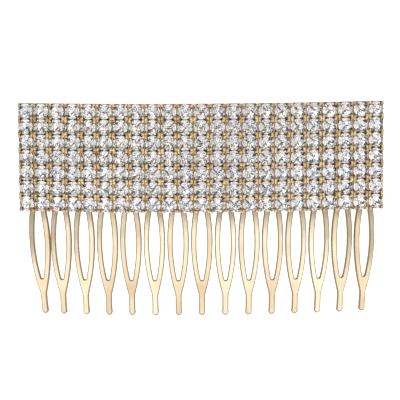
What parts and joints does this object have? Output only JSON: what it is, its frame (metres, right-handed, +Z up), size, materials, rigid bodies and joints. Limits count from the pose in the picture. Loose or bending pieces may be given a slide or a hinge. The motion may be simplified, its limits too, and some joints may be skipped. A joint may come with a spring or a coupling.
{
  "type": "decorative hair comb",
  "caption": "Curved metal side comb with forked teeth and a panel of prong-set clear stones in rows along its top.",
  "frame": {"origin": "middle of the comb sheet's thickness at the centre of its length, level with the lower edge of the stones, where the teeth enter the hair", "axes": "+X along the comb, +Z up from the teeth to the stones, +Y to the back, so the stones face -Y and the teeth point to -Z"},
  "size_m": [0.0926, 0.0117, 0.0544],
  "materials": {
    "comb_metal": "polished pale gold plating",
    "cup_metal": "polished warm gold plating",
    "crystal": "clear cut glass with a foiled back",
    "solder": "dull soft solder"
  },
  "bodies": {
    "root": {"comb": "comb_metal", "backing_plate": "cup_metal", "solder_beads": "solder", "cups_row_1": "cup_metal", "cups_row_2": "cup_metal", "cups_row_3": "cup_metal", "cups_row_4": "cup_metal", "cups_row_5": "cup_metal", "cups_row_6": "cup_metal", "cups_row_7": "cup_metal", "stones_row_1": "crystal", "stones_row_2": "crystal", "stones_row_3": "crystal", "stones_row_4": "crystal", "stones_row_5": "crystal", "stones_row_6": "crystal", "stones_row_7": "crystal", "links_row_1": "cup_metal", "links_row_2": "cup_metal", "links_row_3": "cup_metal", "links_row_4": "cup_metal", "links_row_5": "cup_metal", "links_row_6": "cup_metal", "links_row_7": "cup_metal"}
  },
  "joints": []
}
